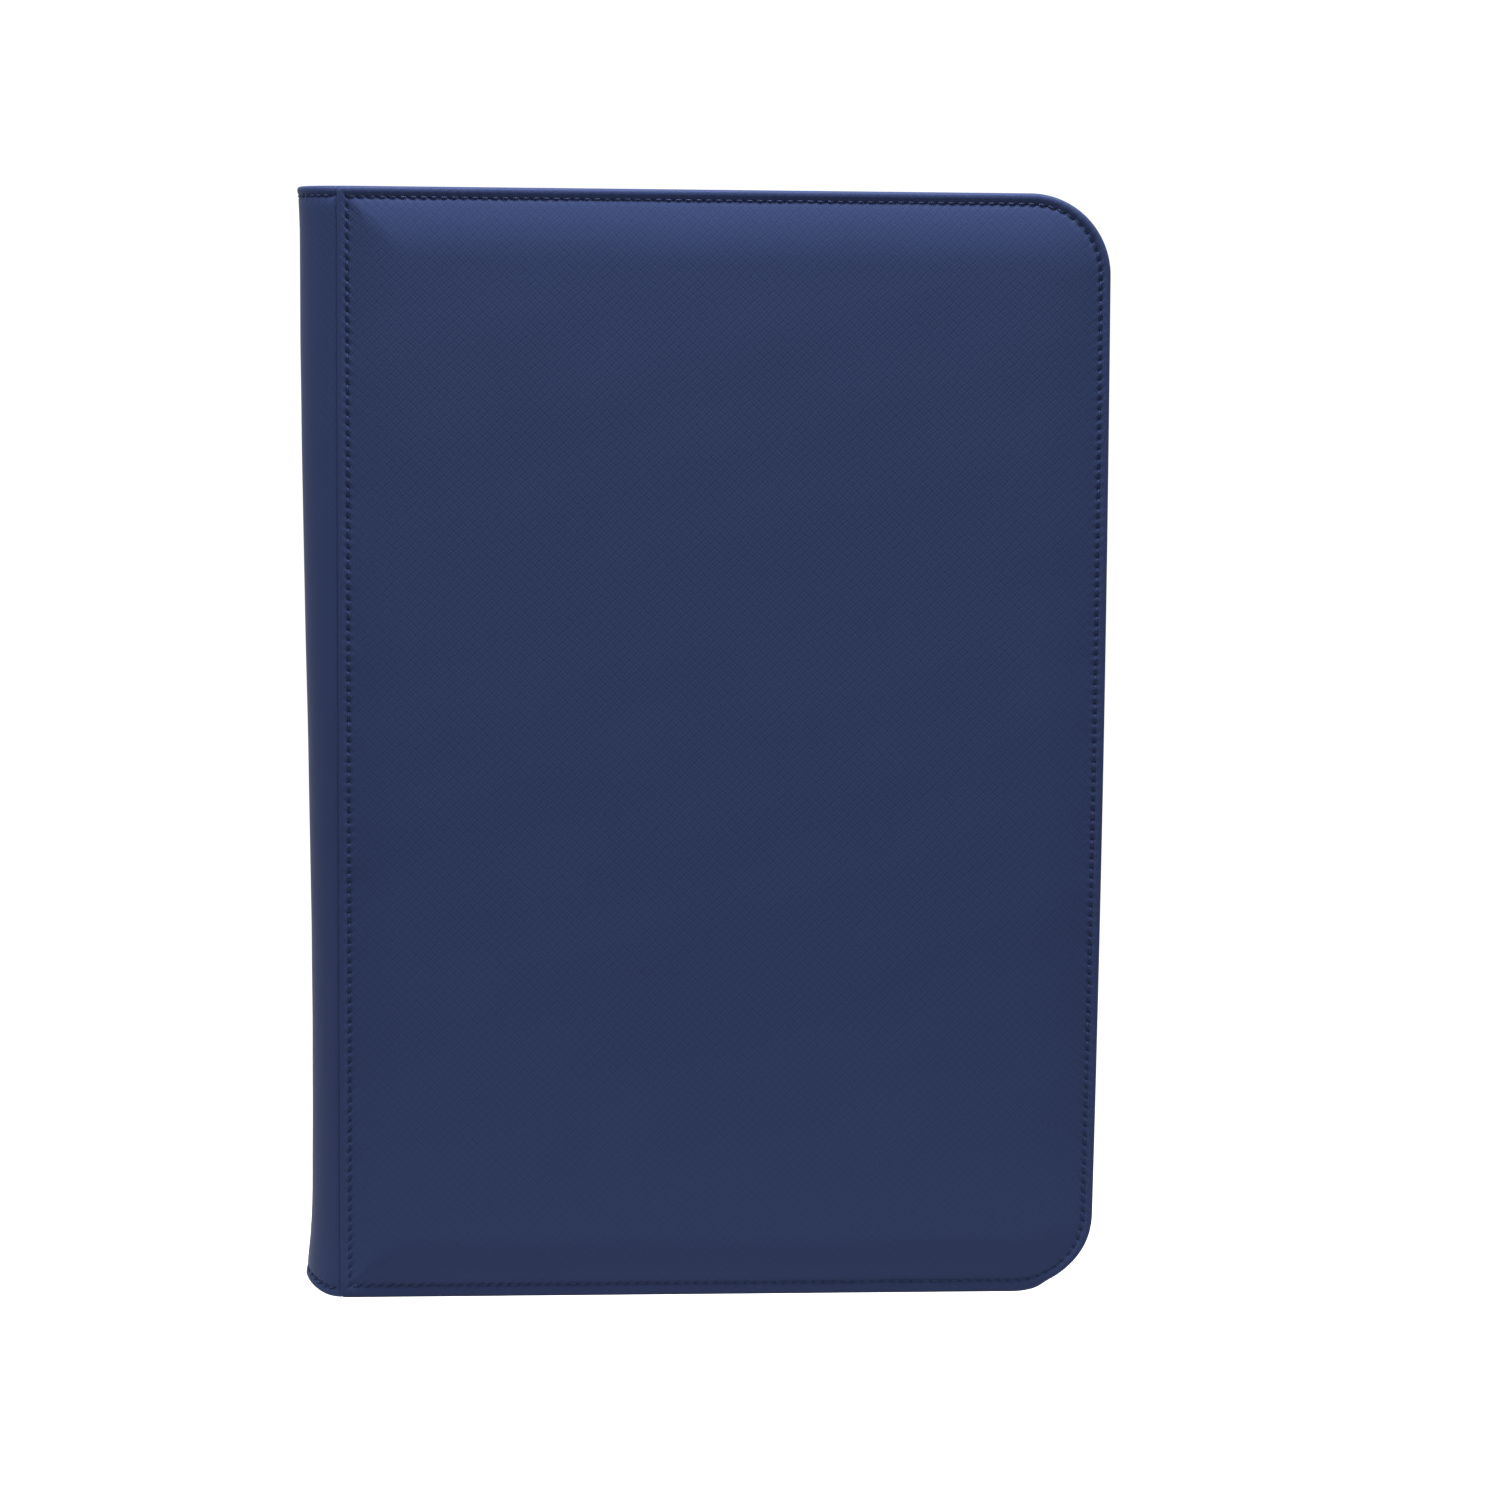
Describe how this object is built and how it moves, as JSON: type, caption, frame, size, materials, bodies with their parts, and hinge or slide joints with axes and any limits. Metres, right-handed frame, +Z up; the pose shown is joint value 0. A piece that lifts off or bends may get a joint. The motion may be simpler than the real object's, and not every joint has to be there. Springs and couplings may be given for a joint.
{
  "type": "trading card binder",
  "caption": "Upright zip-around card binder with padded leatherette covers, a rounded spine and side-loading pocket pages for standard trading cards.",
  "frame": {"origin": "middle of the footprint, on the surface the closed binder stands on", "axes": "+Z up, +X from the spine to the fore-edge, the front cover faces -Y"},
  "size_m": [0.254, 0.04, 0.352],
  "materials": {
    "leatherette": "navy cross-hatch grained leatherette, satin",
    "thread": "twisted polyester sewing thread, navy",
    "foam": "soft open-cell padding",
    "board": "dense grey-brown binder's board",
    "lining": "black fine-woven lining cloth",
    "zip_tape": "dark navy herringbone-woven zip tape",
    "zip_teeth": "dark navy nylon coil",
    "zip_metal": "gunmetal plated, slightly worn at the edges",
    "binding_tape": "black woven reinforcing tape",
    "page_film": "clear polypropylene pockets over a black backing sheet"
  },
  "bodies": {
    "back_cover": {"back_cover_skin": "leatherette", "back_cover_foam": "foam", "back_cover_board": "board", "back_cover_lining": "lining", "back_cover_stitching": "thread", "zipper_tape_back": "zip_tape", "zipper_teeth_back": "zip_teeth", "zipper_stops_back": "zip_metal"},
    "spine": {"spine_skin": "leatherette", "spine_board": "board", "spine_lining": "lining", "spine_stitching": "thread", "binding_strip": "binding_tape", "binding_stitching": "thread", "page_guards": "page_film"},
    "front_cover": {"front_cover_skin": "leatherette", "front_cover_foam": "foam", "front_cover_board": "board", "front_cover_lining": "lining", "front_cover_stitching": "thread", "zipper_tape_front": "zip_tape", "zipper_teeth_front": "zip_teeth", "zipper_stops_front": "zip_metal"},
    "zipper_slider": {"zipper_slider": "zip_metal"},
    "zipper_pull": {"zipper_pull": "zip_metal"},
    "page_01": {"page_01": "page_film"},
    "page_02": {"page_02": "page_film"},
    "page_03": {"page_03": "page_film"},
    "page_04": {"page_04": "page_film"},
    "page_05": {"page_05": "page_film"},
    "page_06": {"page_06": "page_film"},
    "page_07": {"page_07": "page_film"},
    "page_08": {"page_08": "page_film"},
    "page_09": {"page_09": "page_film"},
    "page_10": {"page_10": "page_film"},
    "page_11": {"page_11": "page_film"},
    "page_12": {"page_12": "page_film"},
    "page_13": {"page_13": "page_film"},
    "page_14": {"page_14": "page_film"},
    "page_15": {"page_15": "page_film"},
    "page_16": {"page_16": "page_film"},
    "page_17": {"page_17": "page_film"},
    "page_18": {"page_18": "page_film"},
    "page_19": {"page_19": "page_film"},
    "page_20": {"page_20": "page_film"}
  },
  "joints": [
    {"name": "spine_hinge", "type": "hinge", "parent": "back_cover", "child": "spine", "pos_m": [-0.1153, 0.017, 0.176], "axis": [0, 0, -1], "range_deg": [0, 90]},
    {"name": "front_cover_hinge", "type": "hinge", "parent": "spine", "child": "front_cover", "pos_m": [-0.1153, -0.017, 0.176], "axis": [0, 0, -1], "range_deg": [0, 90]},
    {"name": "zipper_slide", "type": "slide", "parent": "back_cover", "child": "zipper_slider", "axis": [1, 0, 0], "range_m": [0, 0.18]},
    {"name": "zipper_pull_pivot", "type": "hinge", "parent": "zipper_slider", "child": "zipper_pull", "pos_m": [-0.086, 0, 0.34955], "axis": [0, -1, 0], "range_deg": [0, 180]},
    {"name": "page_01_fold", "type": "hinge", "parent": "spine", "child": "page_01", "pos_m": [-0.112, -0.0133, 0.176], "axis": [0, 0, -1], "range_deg": [0, 67.51]},
    {"name": "page_02_fold", "type": "hinge", "parent": "spine", "child": "page_02", "pos_m": [-0.112, -0.0119, 0.176], "axis": [0, 0, -1], "range_deg": [0, 60.76]},
    {"name": "page_03_fold", "type": "hinge", "parent": "spine", "child": "page_03", "pos_m": [-0.112, -0.0105, 0.176], "axis": [0, 0, -1], "range_deg": [0, 54.01]},
    {"name": "page_04_fold", "type": "hinge", "parent": "spine", "child": "page_04", "pos_m": [-0.112, -0.0091, 0.176], "axis": [0, 0, -1], "range_deg": [0, 47.26]},
    {"name": "page_05_fold", "type": "hinge", "parent": "spine", "child": "page_05", "pos_m": [-0.112, -0.0077, 0.176], "axis": [0, 0, -1], "range_deg": [0, 40.51]},
    {"name": "page_06_fold", "type": "hinge", "parent": "spine", "child": "page_06", "pos_m": [-0.112, -0.0063, 0.176], "axis": [0, 0, -1], "range_deg": [0, 33.76]},
    {"name": "page_07_fold", "type": "hinge", "parent": "spine", "child": "page_07", "pos_m": [-0.112, -0.0049, 0.176], "axis": [0, 0, -1], "range_deg": [0, 27.01]},
    {"name": "page_08_fold", "type": "hinge", "parent": "spine", "child": "page_08", "pos_m": [-0.112, -0.0035, 0.176], "axis": [0, 0, -1], "range_deg": [0, 20.26]},
    {"name": "page_09_fold", "type": "hinge", "parent": "spine", "child": "page_09", "pos_m": [-0.112, -0.0021, 0.176], "axis": [0, 0, -1], "range_deg": [0, 13.51]},
    {"name": "page_10_fold", "type": "hinge", "parent": "spine", "child": "page_10", "pos_m": [-0.112, -0.0007, 0.176], "axis": [0, 0, -1], "range_deg": [0, 6.76]},
    {"name": "page_11_fold", "type": "hinge", "parent": "spine", "child": "page_11", "pos_m": [-0.112, 0.0007, 0.176], "axis": [0, 0, 1], "range_deg": [0, 6.76]},
    {"name": "page_12_fold", "type": "hinge", "parent": "spine", "child": "page_12", "pos_m": [-0.112, 0.0021, 0.176], "axis": [0, 0, 1], "range_deg": [0, 13.51]},
    {"name": "page_13_fold", "type": "hinge", "parent": "spine", "child": "page_13", "pos_m": [-0.112, 0.0035, 0.176], "axis": [0, 0, 1], "range_deg": [0, 20.26]},
    {"name": "page_14_fold", "type": "hinge", "parent": "spine", "child": "page_14", "pos_m": [-0.112, 0.0049, 0.176], "axis": [0, 0, 1], "range_deg": [0, 27.01]},
    {"name": "page_15_fold", "type": "hinge", "parent": "spine", "child": "page_15", "pos_m": [-0.112, 0.0063, 0.176], "axis": [0, 0, 1], "range_deg": [0, 33.76]},
    {"name": "page_16_fold", "type": "hinge", "parent": "spine", "child": "page_16", "pos_m": [-0.112, 0.0077, 0.176], "axis": [0, 0, 1], "range_deg": [0, 40.51]},
    {"name": "page_17_fold", "type": "hinge", "parent": "spine", "child": "page_17", "pos_m": [-0.112, 0.0091, 0.176], "axis": [0, 0, 1], "range_deg": [0, 47.26]},
    {"name": "page_18_fold", "type": "hinge", "parent": "spine", "child": "page_18", "pos_m": [-0.112, 0.0105, 0.176], "axis": [0, 0, 1], "range_deg": [0, 54.01]},
    {"name": "page_19_fold", "type": "hinge", "parent": "spine", "child": "page_19", "pos_m": [-0.112, 0.0119, 0.176], "axis": [0, 0, 1], "range_deg": [0, 60.76]},
    {"name": "page_20_fold", "type": "hinge", "parent": "spine", "child": "page_20", "pos_m": [-0.112, 0.0133, 0.176], "axis": [0, 0, 1], "range_deg": [0, 67.51]}
  ],
  "couplings": [
    {"joint": "page_01_fold", "follows": "front_cover_hinge", "ratio": 0.75},
    {"joint": "page_02_fold", "follows": "front_cover_hinge", "ratio": 0.675},
    {"joint": "page_03_fold", "follows": "front_cover_hinge", "ratio": 0.6},
    {"joint": "page_04_fold", "follows": "front_cover_hinge", "ratio": 0.525},
    {"joint": "page_05_fold", "follows": "front_cover_hinge", "ratio": 0.45},
    {"joint": "page_06_fold", "follows": "front_cover_hinge", "ratio": 0.375},
    {"joint": "page_07_fold", "follows": "front_cover_hinge", "ratio": 0.3},
    {"joint": "page_08_fold", "follows": "front_cover_hinge", "ratio": 0.225},
    {"joint": "page_09_fold", "follows": "front_cover_hinge", "ratio": 0.15},
    {"joint": "page_10_fold", "follows": "front_cover_hinge", "ratio": 0.075},
    {"joint": "page_11_fold", "follows": "spine_hinge", "ratio": 0.075},
    {"joint": "page_12_fold", "follows": "spine_hinge", "ratio": 0.15},
    {"joint": "page_13_fold", "follows": "spine_hinge", "ratio": 0.225},
    {"joint": "page_14_fold", "follows": "spine_hinge", "ratio": 0.3},
    {"joint": "page_15_fold", "follows": "spine_hinge", "ratio": 0.375},
    {"joint": "page_16_fold", "follows": "spine_hinge", "ratio": 0.45},
    {"joint": "page_17_fold", "follows": "spine_hinge", "ratio": 0.525},
    {"joint": "page_18_fold", "follows": "spine_hinge", "ratio": 0.6},
    {"joint": "page_19_fold", "follows": "spine_hinge", "ratio": 0.675},
    {"joint": "page_20_fold", "follows": "spine_hinge", "ratio": 0.75}
  ]
}
